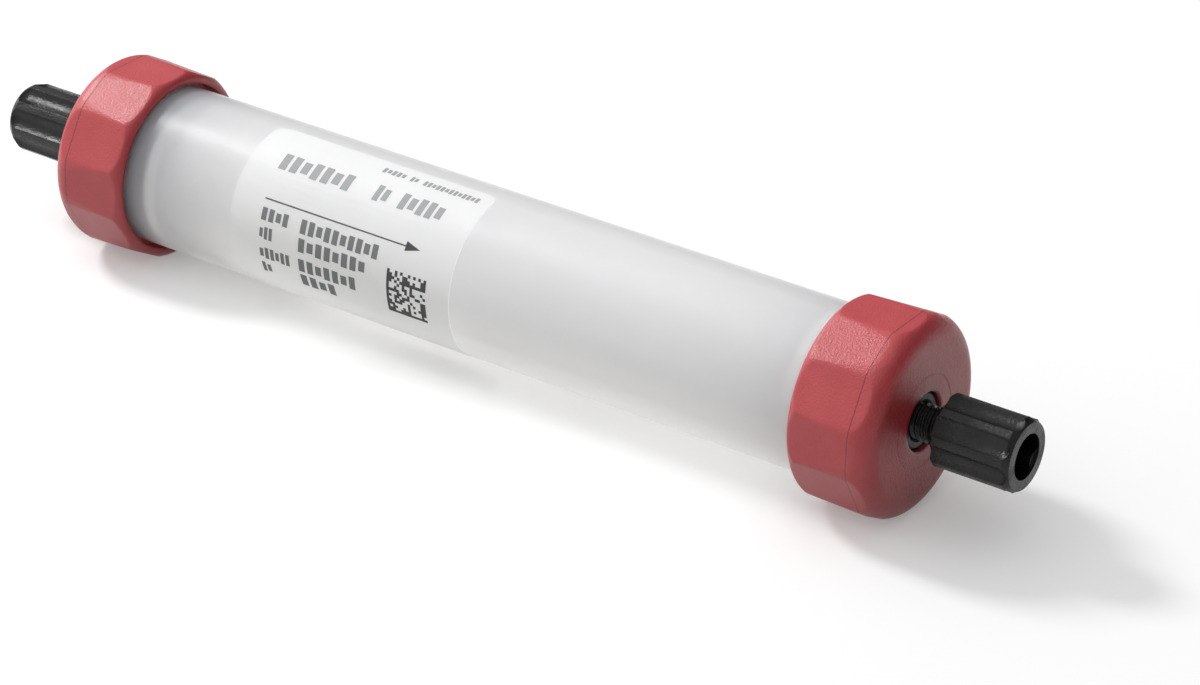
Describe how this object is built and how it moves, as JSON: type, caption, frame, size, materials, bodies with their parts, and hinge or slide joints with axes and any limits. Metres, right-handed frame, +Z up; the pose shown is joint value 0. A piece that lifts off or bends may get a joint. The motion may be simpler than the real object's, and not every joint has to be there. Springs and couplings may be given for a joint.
{
  "type": "chromatography column",
  "caption": "Prepacked laboratory column: translucent tube with a gel bed, facetted screw caps, end pieces with seals and frits, and fluted stop plugs.",
  "frame": {"origin": "bottom centre of the bounding box: on the table, under the middle of the column as it lies on its cap facets", "axes": "+X along the column's axis in the direction of flow, from inlet to outlet; +Z up; the label faces -Y and up"},
  "size_m": [0.1598, 0.0262, 0.0256],
  "materials": {
    "tube_polypropylene": "translucent natural polypropylene, satin",
    "gel_bed": "packed wet gel beads",
    "label_film": "matte white film with grey print",
    "cap_red": "moulded red polypropylene, fine spark-eroded grain",
    "end_piece_black": "black moulded plastic, satin",
    "plug_black": "black moulded plastic with fine grain",
    "o_ring_rubber": "black rubber",
    "frit_polyethylene": "sintered white polyethylene",
    "distributor_plastic": "thin white plastic"
  },
  "bodies": {
    "column": {"column_tube": "tube_polypropylene", "packed_bed": "gel_bed", "product_label": "label_film"},
    "inlet_fitting": {"inlet_end_piece": "end_piece_black", "inlet_o_ring": "o_ring_rubber", "inlet_frit": "frit_polyethylene", "inlet_distributor": "distributor_plastic"},
    "inlet_screw_cap": {"inlet_cap": "cap_red"},
    "inlet_plug": {"inlet_stop_plug": "plug_black"},
    "outlet_fitting": {"outlet_end_piece": "end_piece_black", "outlet_o_ring": "o_ring_rubber", "outlet_frit": "frit_polyethylene", "outlet_distributor": "distributor_plastic"},
    "outlet_screw_cap": {"outlet_cap": "cap_red"},
    "outlet_plug": {"outlet_stop_plug": "plug_black"}
  },
  "joints": [
    {"name": "inlet_fitting_travel", "type": "slide", "parent": "column", "child": "inlet_fitting", "axis": [-1, 0, 0], "range_m": [0, 0.0048]},
    {"name": "inlet_cap_turn", "type": "hinge", "parent": "inlet_fitting", "child": "inlet_screw_cap", "pos_m": [-0.0585, 0, 0.01278], "axis": [-1, 0, 0], "range_deg": [0, 864]},
    {"name": "inlet_plug_travel", "type": "slide", "parent": "inlet_fitting", "child": "inlet_plug", "axis": [-1, 0, 0], "range_m": [0, 0.012]},
    {"name": "outlet_fitting_travel", "type": "slide", "parent": "column", "child": "outlet_fitting", "axis": [1, 0, 0], "range_m": [0, 0.0048]},
    {"name": "outlet_cap_turn", "type": "hinge", "parent": "outlet_fitting", "child": "outlet_screw_cap", "pos_m": [0.0585, 0, 0.01278], "axis": [1, 0, 0], "range_deg": [0, 864]},
    {"name": "outlet_plug_travel", "type": "slide", "parent": "outlet_fitting", "child": "outlet_plug", "axis": [1, 0, 0], "range_m": [0, 0.012]}
  ],
  "couplings": [
    {"joint": "inlet_fitting_travel", "follows": "inlet_cap_turn", "m_per_rad": 0.00031831},
    {"joint": "outlet_fitting_travel", "follows": "outlet_cap_turn", "m_per_rad": 0.00031831}
  ]
}
